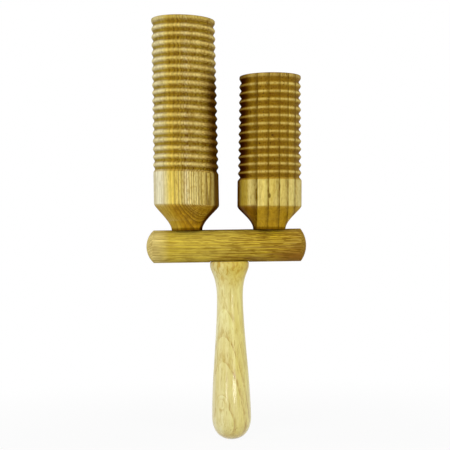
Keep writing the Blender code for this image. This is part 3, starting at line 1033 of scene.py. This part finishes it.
# %% Colour the handle
base = colours(tree, spread(tree, axes[0], -0.014, 0.014), [
    (0.0, (0.67, 0.64, 0.40)), (0.30, (0.74, 0.70, 0.34)), (0.6, (0.72, 0.66, 0.20)),
    (1.0, (0.63, 0.57, 0.16))])
marked = colours(tree, spread(tree, growth["Depth"], 0, 6), [
    (0.10, (0.3, 0.3, 0.3)), (0.30, (0.8, 0.8, 0.8)), (0.50, (1, 1, 1)), (0.60, (0.2, 0.2, 0.2)),
    (0.667, (1, 1, 1))])
broken = times(tree, growth["Late wood"], ranged(tree, fibres["Mottle"], -0.6, 0.8))
broken = times(tree, broken, marked)
broken = times(tree, broken, ranged(tree, axes[0], -0.008, 0.004, 0.9, 1.6))
head = ranged(tree, axes[2], 0.040, 0.056)
golden = times(tree, head, ranged(tree, axes[0], -0.011, 0.008, 0.20, 0.70))
wood = layered(tree, base, [
    (times(tree, growth["Tone"], 0.35), (0.60, 0.47, 0.11)),
    (broken, (0.56, 0.36, 0.02), "MULTIPLY"),
    (times(tree, fibres["Streak"], 0.55), (0.55, 0.44, 0.10)),
    (times(tree, fibres["Mottle"], 0.40), (0.80, 0.72, 0.42), "MULTIPLY"),
    (times(tree, fibres["Fibre"], 0.20), (0.86, 0.80, 0.45)),
    (times(tree, fibres["Pore"], 0.5), (0.58, 0.42, 0.12), "MULTIPLY"),
    (golden, (0.60, 0.45, 0.04)),
    (times(tree, times(tree, head, fibres["Mottle"]), 0.8), (0.44, 0.25, 0.01)),
    (times(tree, end_grain, 0.35), (0.46, 0.31, 0.03))])
tree.links.new(wood, shader.inputs["Base Color"])
print("Handle coloured")

# %% [markdown]
# The varnish lies thick on the bulb and thinner on the neck and the head, so the glints
# are sharpest on the bulb.

# %% Varnish the handle
varnish = times(tree, ranged(tree, axes[2], 0.056, 0.046, 0.2, 1.0),
                ranged(tree, axes[2], -0.012, -0.030, 0.32, 0.95))
tree.links.new(varnish, shader.inputs["Coat Weight"])
roughened(tree, shader, fibres, 0.30, 0.12)
open_grain(tree, shader, fibres, 1.0, 0.00002)
handle.data.materials.append(handle_wood)
print("Handle finished")

# %% [markdown]
# ### Bare wood
# Inside the bores the wood is as the drill left it: dull, with faint rings from the
# cutting edge. The dowels are bare too, in a plainer pale wood, with a dark ring at the
# joint, partly dried glue and partly painted shade in the joint's gap. Both are the same
# recipe without a coat.

# %% Leave the bores and dowels bare
DRILL_RINGS, DOWEL_RINGS = 2400, 900       # to a metre
GLUE_AND_SHADE_RING = (0.0014, 0.0008)     # distances from the joint: none at the first, all at the last


def bare_wood(name, place, lean, colour, dark, tool_rings):
    """Dull wood with the faint rings of a tool, and a dark ring of glue and painted shade at its
    joint.
    """
    material, tree, shader = new_wood(name, {})
    local = wood_place(tree, place, (0, lean, 0))
    fibres = place_group(tree, fibre_tree, {
        "Vector": local, "Fibre size": 900.0, "Pore size": 800.0, "Pore amount": 0.5})
    height = split(tree, local)[2]
    rings = put(tree, "TexNoise", {"W": times(tree, height, tool_rings), "Scale": 1.0,
                                   "Detail": 2.0}, noise_dimensions="1D").outputs[0]
    # Dried glue and painted shade in the joint's gap
    glue_and_shade = ranged(tree, sums(tree, "ABSOLUTE", height), *GLUE_AND_SHADE_RING)
    wood = layered(tree, colour, [
        (times(tree, fibres["Streak"], 0.5), dark),
        (times(tree, ranged(tree, rings, 0.35, 0.65), 0.25), dark),
        (times(tree, fibres["Pore"], 0.6), (0.10, 0.06, 0.02)),
        (glue_and_shade, (0.24, 0.16, 0.06), "MULTIPLY")])
    tree.links.new(wood, shader.inputs["Base Color"])
    roughened(tree, shader, fibres, 0.62, 0.2)
    bumped(tree, shader, sums(tree, "ADD", fibres["Fibre"], rings), 0.00010)
    return material


long_block.data.materials.append(
    bare_wood("long_bore_wood", LONG_AT, LONG_LEAN, (0.46, 0.33, 0.13),
              (0.26, 0.16, 0.05), DRILL_RINGS))
short_block.data.materials.append(
    bare_wood("short_bore_wood", SHORT_AT, SHORT_LEAN, (0.42, 0.29, 0.10),
              (0.22, 0.13, 0.04), DRILL_RINGS))
for name, at in (("long_block_dowel", LONG_AT), ("short_block_dowel", SHORT_AT),
                 ("handle_dowel", (0, 0, SEAT_BOTTOM))):
    dowel_wood = bare_wood(name + "_wood", at, 0, (0.62, 0.47, 0.28), (0.45, 0.32, 0.17),
                           DOWEL_RINGS)
    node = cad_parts[name]
    node.data.materials.clear()
    node.data.materials.append(dowel_wood)
print("Bores and dowels left bare")

# %% [markdown]
# ## The size
# The boxes of the model and of the dressed instrument are printed side by side. The
# turned pieces may not make the instrument bigger than the model.

# %% Print the boxes
dressed_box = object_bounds()
for label, box in (("Model", model_box), ("Dressed", dressed_box)):
    print(label, [round((high - low) * 1000, 1) for low, high in zip(*box)], "mm")
